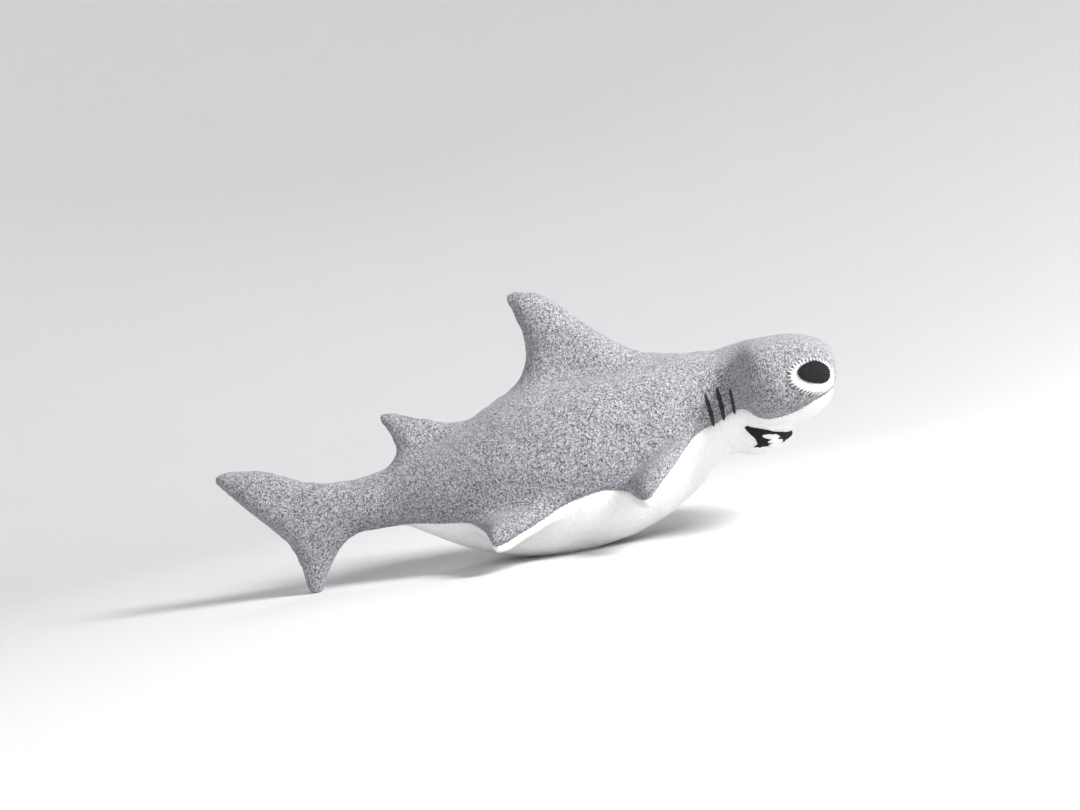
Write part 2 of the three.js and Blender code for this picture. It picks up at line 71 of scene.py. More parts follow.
# Trunk, as x, top, bottom and half width.
TRUNK = [
    (-112, 55, 35, 8),
    (-97, 56.5, 32, 11),
    (-77, 60.5, 29.5, 14.5),
    (-57, 69, 20.5, 21),
    (-37, 77.5, 10, 28),
    (-12, 88, 1.5, 35),
    (18, 97, -2, 39.5),
    (48, 99, 2.2, 40),
    (60, 99, 6.5, 39),
    (73, 99, 11.8, 37.5),
    (91, 98.5, 23.5, 33),
    (104, 97.5, 36, 30.5),
    (117, 95.5, 41, 30),
    (135, 94.5, 46, 31),
    (150, 94, 51, 32),
]
TRUNK_ROUNDNESS = 2.2
SNOUT_X, SNOUT_LENGTH, STEM_LENGTH = 150, 22, 8

# Lumps: centre x and z, half sizes along X, Y and Z.
HAMMER = {
    "x": 143.5,
    "z": 75,
    "half": (27, 62, 23),
    "sweep": 4,              # how far the ends lie behind the middle
    "round": 2.5,            # powers of the section's front and rear and of the ends: 2 is an ellipse
    "rear_round": 3.4,
    "end": 4,
}
CHIN = {"x": 129.5, "z": 50, "half": (17.8, 27.5, 14.5)}

# Fins in the middle plane: outline as x, z; half thickness at heights z; width of the rounded edge.
DORSAL_FIN = {
    "outline": [(96, 92), (74, 102.5), (58, 113.5), (38, 133), (25, 145), (12, 150), (2, 149.4),
                (-1.2, 144.5), (2.2, 136.5), (7.2, 121), (6.8, 106), (-2, 93.5), (-22, 78), (20, 62),
                (80, 68)],
    "thickness": [(96, 15), (122, 10), (149, 7)],
    "edge": 14,
}
REAR_DORSAL_FIN = {
    "outline": [(-30, 76), (-42, 83), (-60, 89.8), (-71, 93.6), (-79, 93.8), (-80.6, 89.5), (-75.6, 81),
                (-71.5, 72), (-75, 62.5), (-84, 52), (-50, 50)],
    "thickness": [(66, 9), (92, 6)],
    "edge": 9,
}
TAIL_FIN = {
    "outline": [(-80, 56), (-102, 57.5), (-122, 63), (-145, 73.5), (-161, 76.8), (-171, 77),
                (-176.3, 73.5), (-174, 67.5), (-162, 54), (-147, 38), (-139.5, 28), (-135.5, 16),
                (-134, 3), (-131, -2), (-124.5, -2), (-120.5, 6), (-111, 21.8), (-97, 31.7), (-80, 36)],
    "thickness": [(3, 6.5), (44, 10), (75, 6.5)],
    "edge": 10,
}

# Fins on the belly seam: outline as x and distance from the middle plane.
PECTORAL_FIN = {
    "outline": [(102, 24), (92, 35), (78, 49), (66, 59.5), (58.5, 62), (53.5, 58), (49.5, 45), (45, 26)],
    "thickness": 9.5,
    "edge": 11,
}
PELVIC_FIN = {
    "outline": [(34, 22), (14, 37.5), (-6, 46.5), (-18, 51.5), (-24.5, 51), (-27.5, 40), (-33, 18)],
    "thickness": 8.5,
    "edge": 11,
}

# Belly seam: its height at the trunk, how steeply it droops along the fins, where the droop starts, and
# how far it dips on the lobes of the head.
SEAM_HEIGHT = [(-92, 31.2), (-77, 30.2), (-62, 29.4), (-52, 28.1), (-38, 27), (-22, 24.8), (-8, 26),
               (7, 27.4), (22, 30.8), (36, 33.2), (48, 32.3), (57.5, 34), (67, 40.6), (77, 46), (85, 51),
               (93, 55.3), (104, 58.2), (110, 61.2), (117, 63.4), (124, 62.8), (133, 61), (142, 60.5),
               (155, 63.6), (161, 65.8), (175, 69)]
SEAM_DROOP = [(-60, 0), (-40, 0.3), (-22, 0.46), (5, 0.45), (30, 0.25), (60, 0.3), (90, 0.2), (108, 0)]
SEAM_ROOT = [(-60, 17), (-23, 27), (10, 33), (45, 36), (90, 31), (120, 29)]
LOBE_DIP = [(103, 0), (112, 2.5), (119, 3.5), (124, 6.2), (133, 4.6), (142, 1.8), (150, 0)]
LOBE_ROOT, LOBE_REACH = 30, 16

# How softly each shape flows into the others. The head's lobes flow softest between two heights.
BLEND, HEAD_BLEND, FIN_BLEND, PAIRED_FIN_BLEND = 7, 20, 7, 4.5
HEAD_BLEND_FROM, HEAD_BLEND_RISE = 62, 14
HEAD_BLEND_TO, HEAD_BLEND_FALL = 100, 16

# Corners of the box that surfaces are looked for in.
SPACE = ((-190, -78, -15), (190, 78, 165))


# ------------------------------------------------------------------ curves and outlines

def smooth_curve(points):
    """A function of x that passes smoothly through (x, value) points, and is flat beyond both ends."""
    x0 = np.array([p[0] for p in points], float)
    v0 = np.array([p[1] for p in points], float)
    slope = np.zeros(len(points))
    slope[1:-1] = (v0[2:] - v0[:-2]) / (x0[2:] - x0[:-2])

    def curve(x):
        x = np.clip(x, x0[0], x0[-1])
        i = np.clip(np.searchsorted(x0, x, side="right") - 1, 0, len(points) - 2)
        width = x0[i + 1] - x0[i]
        t = (x - x0[i]) / width
        rest = 1 - t
        return (v0[i] * (1 + 2 * t) * rest**2 + slope[i] * width * t * rest**2
                + v0[i + 1] * t**2 * (3 - 2 * t) - slope[i + 1] * width * t**2 * rest)

    return curve


def round_outline(points, steps=5):
    """A closed outline with rounded stretches, as an array of 2-D points."""
    p = np.array(points, float)
    t = np.arange(steps)[:, None] / steps
    stretches = []
    for i in range(len(p)):
        a, b, c, d = (p[(i + k) % len(p)] for k in (-1, 0, 1, 2))
        stretches.append(0.5 * (2 * b + (c - a) * t + (2 * a - 5 * b + 4 * c - d) * t**2
                                + (3 * b - a - 3 * c + d) * t**3))
    return np.concatenate(stretches)


def depth_inside(outline, a, b):
    """Distance from (a, b) to an outline, positive inside."""
    nearest = np.inf
    inside = np.zeros(np.broadcast(a, b).shape, bool)
    for p, q in zip(outline, np.roll(outline, 1, axis=0)):
        ea, eb = q - p
        t = np.clip(((a - p[0]) * ea + (b - p[1]) * eb) / (ea**2 + eb**2), 0, 1)
        nearest = np.minimum(nearest, np.hypot(a - p[0] - ea * t, b - p[1] - eb * t))
        if eb:
            crosses = ((p[1] > b) != (q[1] > b)) & (a < p[0] + (b - p[1]) / eb * ea)
            inside ^= crosses
    return np.where(inside, nearest, -nearest)


# ------------------------------------------------------------------ the toy's outer shape
# Each function gives roughly the depth under its surface in mm, and is negative outside.

trunk_top = smooth_curve([(x, top) for x, top, _, _ in TRUNK])
trunk_bottom = smooth_curve([(x, bottom) for x, _, bottom, _ in TRUNK])
trunk_width = smooth_curve([(x, width) for x, _, _, width in TRUNK])
seam_height = smooth_curve(SEAM_HEIGHT)
seam_droop = smooth_curve(SEAM_DROOP)
seam_root = smooth_curve(SEAM_ROOT)
lobe_dip = smooth_curve(LOBE_DIP)


def seam_surface(x, y):
    """Height of the surface that holds the belly seam and the middle of the paired fins."""
    out = np.clip((np.abs(y) - LOBE_ROOT) / LOBE_REACH, 0, 1)
    dip = lobe_dip(x) * out**2 * (3 - 2 * out)
    return seam_height(x) - dip - seam_droop(x) * np.maximum(0, np.abs(y) - seam_root(x))


def trunk(x, y, z):
    middle = (trunk_top(x) + trunk_bottom(x)) / 2
    half_height = (trunk_top(x) - trunk_bottom(x)) / 2
    half_width = trunk_width(x)
    closing = np.maximum(np.maximum(0, (x - SNOUT_X) / SNOUT_LENGTH), (TRUNK[0][0] - x) / STEM_LENGTH)
    power = TRUNK_ROUNDNESS
    section = (np.abs(y / half_width) ** power + np.abs((z - middle) / half_height) ** power) ** (1 / power)
    return np.minimum(half_width, half_height) * (1 - np.hypot(section, closing))


def lump_depth(lump, size, across, along, up):
    half_x, half_y, half_z = lump["half"]
    steepness = np.sqrt((across / half_x) ** 2 + (along / half_y) ** 2 + (up / half_z) ** 2)
    return size * (1 - size) / np.maximum(steepness, 1e-6)


def hammer(x, y, z):
    half_x, half_y, half_z = HAMMER["half"]
    along = np.abs(y) / half_y
    ahead = x - HAMMER["x"] + HAMMER["sweep"] * along**2
    across = np.abs(ahead) / half_x
    up = np.abs(z - HAMMER["z"]) / half_z
    power = np.where(ahead > 0, HAMMER["round"], HAMMER["rear_round"])
    section = (across**power + up**power) ** (1 / power)
    size = (section ** HAMMER["end"] + along ** HAMMER["end"]) ** (1 / HAMMER["end"])
    return lump_depth(HAMMER, size, across, along, up)


def chin(x, y, z):
    half_x, half_y, half_z = CHIN["half"]
    across, along, up = (x - CHIN["x"]) / half_x, y / half_y, (z - CHIN["z"]) / half_z
    return lump_depth(CHIN, np.sqrt(across**2 + along**2 + up**2), across, along, up)


def pillow(off, depth, thickness, edge):
    """A stuffed fin: off is the distance from its middle surface, depth the distance inside its outline."""
    return thickness * (1 - np.hypot(off / thickness, np.maximum(0, 1 - depth / edge)))


def upright_fin(fin):
    outline = round_outline(fin["outline"])
    thickness = smooth_curve(fin["thickness"])
    return lambda x, y, z: pillow(y, depth_inside(outline, x, z), thickness(z), fin["edge"])


def seam_fin(fin):
    outline = round_outline(fin["outline"])

    def depth(x, y, z):
        inside = depth_inside(outline, x, np.abs(y))
        return pillow(z - seam_surface(x, y), inside, fin["thickness"], fin["edge"])

    return depth


def head_blend(z):
    """How softly the head flows into the trunk at height z."""
    rise = np.clip((z - HEAD_BLEND_FROM) / HEAD_BLEND_RISE, 0, 1)
    up = rise * np.clip((HEAD_BLEND_TO - z) / HEAD_BLEND_FALL, 0, 1)
    return BLEND + (HEAD_BLEND - BLEND) * up * up * (3 - 2 * up)


# What is joined to the trunk, each with its softness. None stands for the head's own.
SHAPES = [
    (hammer, None),
    (chin, BLEND),
    (upright_fin(DORSAL_FIN), FIN_BLEND),
    (upright_fin(REAR_DORSAL_FIN), FIN_BLEND),
    (upright_fin(TAIL_FIN), FIN_BLEND),
    (seam_fin(PECTORAL_FIN), PAIRED_FIN_BLEND),
    (seam_fin(PELVIC_FIN), PAIRED_FIN_BLEND),
]


def shark(x, y, z):
    depth = trunk(x, y, z)
    for shape, blend in SHAPES:
        other = shape(x, y, z)
        blend = head_blend(z) if blend is None else blend
        near = np.maximum(0, blend - np.abs(depth - other))
        depth = np.maximum(depth, other) + near**2 / (4 * blend)
    return depth


def slope_of(field, points, h=0.05):
    """Gradient of a field at each point."""
    columns = []
    for axis in range(3):
        step = np.zeros(3)
        step[axis] = h
        ahead, behind = (points + step).T, (points - step).T
        columns.append((field(*ahead) - field(*behind)) / (2 * h))
    return np.stack(columns, axis=1)


# ------------------------------------------------------------------ from the shape to a mesh

def surface_net(field, level, cell):
    """Vertices and quads of the surface where field equals level. A vertex lies in each cell it crosses."""
    low, high = (np.array(corner, float) for corner in SPACE)
    counts = np.ceil((high - low) / cell).astype(int)
    counts[1] += 1 - counts[1] % 2          # an odd number of cells across puts vertices on y = 0
    size = (high - low) / counts
    axes = [low[k] + size[k] * np.arange(counts[k] + 1) for k in range(3)]
    value = field(axes[0][:, None, None], axes[1][None, :, None], axes[2][None, None, :]) - level
    inside = value > 0
    total = np.zeros((*counts, 3))
    crossings = np.zeros(tuple(counts))
    corners = [(i, j, k) for i in (0, 1) for j in (0, 1) for k in (0, 1)]

    def at(corner, array):
        return array[tuple(slice(c, c + n) for c, n in zip(corner, counts))]

    for a in corners:
        for axis in range(3):
            if a[axis]:
                continue
            b = tuple(c + (k == axis) for k, c in enumerate(a))
            crossed = at(a, inside) != at(b, inside)
            va, vb = at(a, value), at(b, value)
            t = np.where(crossed, va / np.where(crossed, va - vb, 1), 0)
            for k in range(3):
                total[..., k] += np.where(crossed, a[k] + (t if k == axis else 0), 0)
            crossings += crossed
    used = crossings > 0
    number = np.full(tuple(counts), -1)
    number[used] = np.arange(used.sum())
    cells = np.argwhere(used)
    points = low + (cells + total[used] / crossings[used][:, None]) * size
    quads = []
    for axis in range(3):
        u, v = (axis + 1) % 3, (axis + 2) % 3
        ahead = [slice(1, n) for n in counts]
        ahead[axis] = slice(0, counts[axis])
        first = inside[tuple(ahead)]
        ahead[axis] = slice(1, counts[axis] + 1)
        second = inside[tuple(ahead)]
        edges = np.argwhere(first != second)
        leaving = first[tuple(edges.T)]
        base = edges + 1
        base[:, axis] -= 1
        ring = []
        for du, dv in ((1, 1), (0, 1), (0, 0), (1, 0)):
            spot = base.copy()
            spot[:, u] -= du
            spot[:, v] -= dv
            ring.append(number[tuple(spot.T)])
        ring = np.stack(ring, axis=1)
        ring[~leaving] = ring[~leaving][:, ::-1]
        quads.append(ring)
    for _ in range(3):
        slope = slope_of(field, points)
        error = level - field(*points.T)
        move = slope * (error / np.maximum(0.1, (slope**2).sum(axis=1)))[:, None]
        points = points + np.clip(move, -cell / 2, cell / 2)
    return points, np.concatenate(quads)


def mesh_object(name, points, faces, material=None):
    """An object from points in mm."""
    mesh = bpy.data.meshes.new(name)
    mesh.from_pydata((np.asarray(points) * MM).tolist(), [], [list(map(int, f)) for f in faces])
    mesh.validate()
    mesh.update()
    mesh.polygons.foreach_set("use_smooth", [True] * len(mesh.polygons))
    obj = bpy.data.objects.new(name, mesh)
    bpy.context.scene.collection.objects.link(obj)
    if material:
        mesh.materials.append(material)
    return obj


def coordinates(obj):
    """An object's vertices in mm."""
    flat = np.empty(len(obj.data.vertices) * 3)
    obj.data.vertices.foreach_get("co", flat)
    return flat.reshape(-1, 3) / MM


def set_coordinates(obj, points):
    obj.data.vertices.foreach_set("co", (points * MM).ravel())
    obj.data.update()


def vertex_normals(obj):
    flat = np.empty(len(obj.data.vertices) * 3)
    obj.data.vertices.foreach_get("normal", flat)
    return flat.reshape(-1, 3)


def apply_modifiers(obj):
    graph = bpy.context.evaluated_depsgraph_get()
    mesh = bpy.data.meshes.new_from_object(obj.evaluated_get(graph))
    obj.modifiers.clear()
    old = obj.data
    obj.data = mesh
    bpy.data.meshes.remove(old)


def subdivide(obj):
    modifier = obj.modifiers.new("smooth", "SUBSURF")
    modifier.levels = 1
    apply_modifiers(obj)


# ------------------------------------------------------------------ the skin

def seam_distance(points):
    """Distance along the skin from each point to the nearest seam."""
    x, y, z = points.T
    over = z - seam_surface(x, y)
    slope = slope_of(lambda a, b, c: c - seam_surface(a, b), points)
    normal = slope_of(shark, points)
    normal /= np.maximum(np.linalg.norm(normal, axis=1), 1e-6)[:, None]
    along = slope - normal * (slope * normal).sum(axis=1)[:, None]
    to_belly_seam = np.abs(over) / np.maximum(np.linalg.norm(along, axis=1), 0.15)
    on_tail = x < BELLY_END_X
    to_belly_seam = np.where(on_tail, np.hypot(x - BELLY_END_X, np.abs(y)), to_belly_seam)
    to_middle = np.where((over > 0) | on_tail, np.abs(y), np.inf)
    return np.minimum(to_belly_seam, to_middle)


CLOTH_FRAMES = 15
SEAM_PULL_REACH = 4          # how far from a seam its thread gathers the fleece
SWELL_SHARE = 0.55           # share of the cloth's movement that is kept
LEAST_SWELL = 0.3 * SLACK


def blow_up(skin, start):
    """Fills the skin as a cloth under pressure. Returns how each vertex moves, and puts them all back."""
    seams = skin.vertex_groups.new(name="seams")
    for index, distance in enumerate(seam_distance(start)):
        seams.add([index], float(np.exp(-(distance / SEAM_PULL_REACH) ** 2)), "REPLACE")
    cloth = skin.modifiers.new("cloth", "CLOTH")
    settings = cloth.settings
    settings.quality = 6
    settings.mass = 0.15
    settings.tension_stiffness = 12
    settings.compression_stiffness = 12
    settings.shear_stiffness = 5
    settings.bending_stiffness = 1.5
    settings.use_pressure = True
    settings.uniform_pressure_force = 4
    settings.shrink_min = -0.01
    settings.shrink_max = 0.03
    settings.vertex_group_shrink = "seams"
    settings.effector_weights.gravity = 0
    scene = bpy.context.scene
    for number in range(1, CLOTH_FRAMES + 1):
        scene.frame_set(number)
    apply_modifiers(skin)
    scene.frame_set(1)
    move = coordinates(skin) - start
    set_coordinates(skin, start)
    return move - move.mean(axis=0)


def evened(skin, move, passes=3):
    """Each vertex's movement, evened out with its neighbours'."""
    edges = np.array([edge.vertices[:] for edge in skin.data.edges])
    count = np.bincount(edges.ravel(), minlength=len(move))[:, None]
    for _ in range(passes):
        around = np.zeros_like(move)
        np.add.at(around, edges[:, 0], move[edges[:, 1]])
        np.add.at(around, edges[:, 1], move[edges[:, 0]])
        move = (move + around / count) / 2
    return move


def stuffed_skin():
    """The whole skin as one closed mesh, swollen by its stuffing."""
    points, quads = surface_net(shark, SLACK, CELL)
    skin = mesh_object("skin", points, quads)
    start = coordinates(skin)
    move = evened(skin, blow_up(skin, start))
    normal = vertex_normals(skin)
    out = (move * normal).sum(axis=1)
    swell = np.clip(SLACK + SWELL_SHARE * (out - np.median(out)), LEAST_SWELL, MOST_SWELL)
    set_coordinates(skin, start + normal * swell[:, None])
    subdivide(skin)
    return skin


GROOVE_DEPTH, GROOVE_WIDTH = 1.1, 1.7
PUCKER, PUCKER_REACH, PUCKER_LENGTH = 0.45, 9.0, 5.5
LUMP, LUMP_LENGTH = 0.5, 22.0
FLOOR_GAP = 0.05             # how far the skin stays above the floor
SEAM_SNAP = 0.175 * CELL     # vertices this near to the belly seam are moved onto it


def noise_at(points, length, seed):
    """Smooth noise at each point, with lumps of about this length."""
    offset = Vector((seed * 7.3, seed * 3.1, seed * 5.7))
    return np.array([noise.noise(Vector(p / length) + offset) for p in points])


def shape_seams(skin):
    """Sinks the seams, and puckers the fleece beside them."""
    points = coordinates(skin)
    normal = vertex_normals(skin)
    distance = seam_distance(points)
    groove = -GROOVE_DEPTH * np.exp(-(distance / GROOVE_WIDTH) ** 2)
    pucker = PUCKER * noise_at(points, PUCKER_LENGTH, 1) * np.exp(-distance / PUCKER_REACH)
    lump = LUMP * noise_at(points, LUMP_LENGTH, 2)
    shift = groove + pucker + lump
    moved = points + normal * shift[:, None]
    middle = np.abs(points[:, 1]) < 1e-3
    moved[middle, 1] = 0
    moved[:, 2] = np.maximum(moved[:, 2], FLOOR_GAP)
    set_coordinates(skin, moved)


def cut_skin(skin):
    """Cuts the skin along its seams, and returns the faces of each panel as separate objects."""
    mesh = bmesh.new()
    mesh.from_mesh(skin.data)
    mesh.transform(Matrix.Scale(1 / MM, 4))

    def bisect(place, normal):
        everything = mesh.verts[:] + mesh.edges[:] + mesh.faces[:]
        bmesh.ops.bisect_plane(mesh, geom=everything, dist=0.02, plane_co=place, plane_no=normal)

    bisect((0, 0, 0), (0, 1, 0))
    bisect((BELLY_END_X, 0, 0), (1, 0, 0))

    def lift(sign):
        """Moves every vertex so that the seam surface becomes the plane z = 0, or back."""
        at = np.array([v.co[:] for v in mesh.verts])
        height = seam_surface(at[:, 0], at[:, 1])
        for vertex, h in zip(mesh.verts, height):
            vertex.co.z -= sign * h

    lift(1)
    for vertex in mesh.verts:
        if abs(vertex.co.z) < SEAM_SNAP:
            vertex.co.z = 0
    bisect((0, 0, 0), (0, 0, 1))
    belly = set()
    for face in mesh.faces:
        centre = face.calc_center_median()
        if centre.z < 0 and centre.x > BELLY_END_X:
            belly.add(face.index)
    lift(-1)
    mesh.faces.ensure_lookup_table()
    groups = {"belly_panel": [], "left_side_panel": [], "right_side_panel": []}
    for face in mesh.faces:
        side = "left_side_panel" if face.calc_center_median().y > 0 else "right_side_panel"
        groups["belly_panel" if face.index in belly else side].append(face)
    panels = {}
    for name, faces in groups.items():
        used = sorted({v for f in faces for v in f.verts}, key=lambda v: v.index)
        number = {v: i for i, v in enumerate(used)}
        points = [v.co[:] for v in used]
        panels[name] = mesh_object(name, points, [[number[v] for v in f.verts] for f in faces])
    mesh.free()
    return panels


def thicken(panel):
    """Gives a panel the thickness of fleece, inwards."""
    modifier = panel.modifiers.new("fleece", "SOLIDIFY")
    modifier.thickness = FLEECE * MM
    modifier.offset = -1
    modifier.use_rim = True
    apply_modifiers(panel)


# ------------------------------------------------------------------ materials

def new_material(name, colour, roughness, sheen=0.0):
    """A material, and its shader."""
    material = bpy.data.materials.new(name)
    material.use_nodes = True
    nodes = material.node_tree.nodes
    shader = nodes["Principled BSDF"]
    shader.inputs["Base Color"].default_value = (*colour, 1)
    shader.inputs["Roughness"].default_value = roughness
    shader.inputs["Sheen Weight"].default_value = sheen
    shader.inputs["Sheen Roughness"].default_value = 0.5
    shader.inputs["Specular IOR Level"].default_value = 0.15
    return material, shader


def texture_noise(material, scale, detail, distortion=0.0, stretch=(1, 1, 1), rotation=(0, 0, 0)):
    """Noise that is fixed to the object, with about this many lumps to a metre."""
    tree = material.node_tree
    coordinate = tree.nodes.new("ShaderNodeTexCoord")
    mapping = tree.nodes.new("ShaderNodeMapping")
    mapping.inputs["Scale"].default_value = stretch
    mapping.inputs["Rotation"].default_value = rotation
    texture = tree.nodes.new("ShaderNodeTexNoise")
    texture.inputs["Scale"].default_value = scale
    texture.inputs["Detail"].default_value = detail
    texture.inputs["Roughness"].default_value = 0.65
    texture.inputs["Distortion"].default_value = distortion
    tree.links.new(coordinate.outputs["Object"], mapping.inputs["Vector"])
    tree.links.new(mapping.outputs["Vector"], texture.inputs["Vector"])
    return texture.outputs["Fac"]


def ramp(material, factor, stops):
    """A colour ramp with (place, colour) stops."""
    node = material.node_tree.nodes.new("ShaderNodeValToRGB")
    elements = node.color_ramp.elements
    while len(elements) < len(stops):
        elements.new(0.5)
    for element, (place, colour) in zip(elements, stops):
        element.position = place
        element.color = (*colour, 1)
    material.node_tree.links.new(factor, node.inputs["Fac"])
    return node.outputs["Color"]


def multiply(material, a, b):
    """The product of two colours."""
    node = material.node_tree.nodes.new("ShaderNodeMix")
    node.data_type = "RGBA"
    node.blend_type = "MULTIPLY"
    node.inputs[0].default_value = 1.0
    material.node_tree.links.new(a, node.inputs[6])
    material.node_tree.links.new(b, node.inputs[7])
    return node.outputs[2]


def average(material, a, b):
    """Half the sum of two values."""
    node = material.node_tree.nodes.new("ShaderNodeMath")
    node.operation = "ADD"
    half = material.node_tree.nodes.new("ShaderNodeMath")
    half.operation = "MULTIPLY"
    half.inputs[1].default_value = 0.5
    material.node_tree.links.new(a, node.inputs[0])
    material.node_tree.links.new(b, node.inputs[1])
    material.node_tree.links.new(node.outputs[0], half.inputs[0])
    return half.outputs[0]


def add_bump(material, shader, height, depth_mm, strength=1.0):
    """Adds relief to a shader, on top of what it has already."""
    node = material.node_tree.nodes.new("ShaderNodeBump")
    node.inputs["Distance"].default_value = depth_mm * MM
    node.inputs["Strength"].default_value = strength
    material.node_tree.links.new(height, node.inputs["Height"])
    previous = shader.inputs["Normal"].links
    if previous:
        material.node_tree.links.new(previous[0].from_socket, node.inputs["Normal"])
    material.node_tree.links.new(node.outputs["Normal"], shader.inputs["Normal"])


def fleece_material(name, dark, middle, light, patchy, sheen):
    """Brushed anti-pill fleece: a mottled mix of light and dark fibres with a soft pile."""
    material, shader = new_material(name, middle, 1.0, sheen)
    across = texture_noise(material, 900, 3, 0.8, (1, 2, 1), (0.3, 0.2, 0.5))
    along = texture_noise(material, 900, 3, 0.8, (2, 1, 1.3), (0.9, 0.4, 0.1))
    fibres = average(material, across, along)
    colour = ramp(material, fibres, [(0.4, dark), (0.48, middle), (0.57, light)])
    worn = texture_noise(material, 38, 2)
    shade = ramp(material, worn, [(0.3, (1 - patchy,) * 3), (0.7, (1, 1, 1))])
    material.node_tree.links.new(multiply(material, colour, shade), shader.inputs["Base Color"])
    add_bump(material, shader, fibres, 1.1)
    add_bump(material, shader, texture_noise(material, 230, 2), 0.8)
    return material


def felt_material(name, dark, light, sheen):
    """Pressed craft felt: short matted fibres."""
    material, shader = new_material(name, light, 0.95, sheen)
    fibres = texture_noise(material, 900, 4, 2.0)
    colour = ramp(material, fibres, [(0.35, dark), (0.65, light)])
    material.node_tree.links.new(colour, shader.inputs["Base Color"])
    add_bump(material, shader, fibres, 0.35)
    return material


def thread_material(name, dark, light):
    """Spun thread: fine strands with a slight gloss."""
    material, shader = new_material(name, light, 0.5, 0.1)
    shader.inputs["Specular IOR Level"].default_value = 0.4
    strands = texture_noise(material, 2600, 2, 0.4, (1, 1, 3))
    colour = ramp(material, strands, [(0.4, dark), (0.6, light)])
    material.node_tree.links.new(colour, shader.inputs["Base Color"])
    add_bump(material, shader, strands, 0.08)
    return material


MATERIALS = {
    "grey_fleece": fleece_material(
        "grey_fleece", (0.044, 0.044, 0.05), (0.198, 0.198, 0.219), (0.515, 0.515, 0.555), 0.12, 0.25),
    "white_fleece": fleece_material(
        "white_fleece", (0.82, 0.79, 0.77), (0.9, 0.885, 0.875), (0.95, 0.945, 0.94), 0.03, 0.3),
    "white_felt": felt_material("white_felt", (0.7, 0.69, 0.67), (0.9, 0.89, 0.87), 0.1),
    "black_felt": felt_material("black_felt", (0.004, 0.004, 0.005), (0.022, 0.021, 0.024), 0.03),
    "black_thread": thread_material("black_thread", (0.006, 0.006, 0.008), (0.022, 0.022, 0.026)),
    "white_thread": thread_material("white_thread", (0.72, 0.71, 0.68), (0.92, 0.91, 0.89)),
    "grey_thread": thread_material("grey_thread", (0.22, 0.22, 0.25), (0.42, 0.42, 0.46)),
    "stuffing": fleece_material(
        "stuffing", (0.7, 0.7, 0.69), (0.85, 0.85, 0.84), (0.95, 0.95, 0.94), 0.1, 0.2),
}


def finish_piece(obj, slot, nodes, bends=False, body=BODY):
    """Gives a piece its material and hides the CAD nodes that it stands for. With bends, its place is baked
    into its mesh; otherwise it is hung on its body.
    """
    obj.data.materials.clear()
    obj.data.materials.append(MATERIALS[slot])
    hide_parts(*nodes)
    if bends:
        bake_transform(obj)
    else:
        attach(obj, body)


# Panels, with the name and the slot of each one's fleece.
PANELS = {
    "belly_panel": ("belly_fleece", "white_fleece"),
    "left_side_panel": ("left_side_fleece", "grey_fleece"),
    "right_side_panel": ("right_side_fleece", "grey_fleece"),
}


def finish_panels(panels):
    for node, (name, slot) in PANELS.items():
        panel = panels[node]
        thicken(panel)
        panel.name = name
        finish_piece(panel, slot, [node], bends=True)


# ------------------------------------------------------------------ felt, thread and stuffing

FELT_SUNK = 0.5              # how deep a patch's underside lies in what is under it
RAY_REACH = 30               # how far outside the eye its rays start, and where a missed ray looks
FAR_SIDE = 80                # a distance to the side that clears the whole toy
SIDES = [("left", 1), ("right", -1)]


def skin_normal(points):
    """Outward direction of the skin nearest to each point."""
    found = []
    for point in np.atleast_2d(points):
        face = skin_map["tree"].find_nearest(Vector(point))[2]
        corners = list(skin_map["faces"][face])
        near = 1 / (np.linalg.norm(skin_map["points"][corners] - point, axis=1) + 0.2)
        normal = near @ skin_map["normals"][corners]
        found.append(normal / np.linalg.norm(normal))
    return np.array(found)


def on_skin(start, direction):
    """The point where a ray meets the skin, or if it misses, the point nearest to a place on its path."""
    place = skin_map["tree"].ray_cast(Vector(start), Vector(direction))[0]
    if place is None:
        place = skin_map["tree"].find_nearest(Vector(start) + RAY_REACH * Vector(direction))[0]
    return np.array(place)


def dense(outline, step):
    """The same closed line with a point at least every step."""
    points = [np.array(p, float) for p in outline]
    out = []
    for a, b in zip(points, points[1:] + points[:1]):
        count = max(1, int(np.ceil(np.linalg.norm(b - a) / step)))
        out.extend(a + (b - a) * k / count for k in range(count))
    return np.array(out)


def felt_pattern(outline, step):
    """Triangles that fill an outline: their points, their faces, and each point's distance from the edge."""
    rim = dense(outline, step)
    low, high = rim.min(axis=0), rim.max(axis=0)
    grid = []
    for row, v in enumerate(np.arange(low[1], high[1], step * 0.87)):
        for u in np.arange(low[0] + (row % 2) * step / 2, high[0], step):
            grid.append((u, v))
    grid = np.array(grid)
    inner = grid[depth_inside(rim, grid[:, 0], grid[:, 1]) > 0.5 * step]
    flat = [Vector(p) for p in np.concatenate([rim, inner])]
    loop = [(i, (i + 1) % len(rim)) for i in range(len(rim))]
    points, _, faces, _, _, _ = geometry.delaunay_2d_cdt(flat, loop, [], 1, 1e-5)
    pattern = np.array([point[:] for point in points])
    depth = np.maximum(0, depth_inside(rim, pattern[:, 0], pattern[:, 1]))
    return pattern, faces, depth


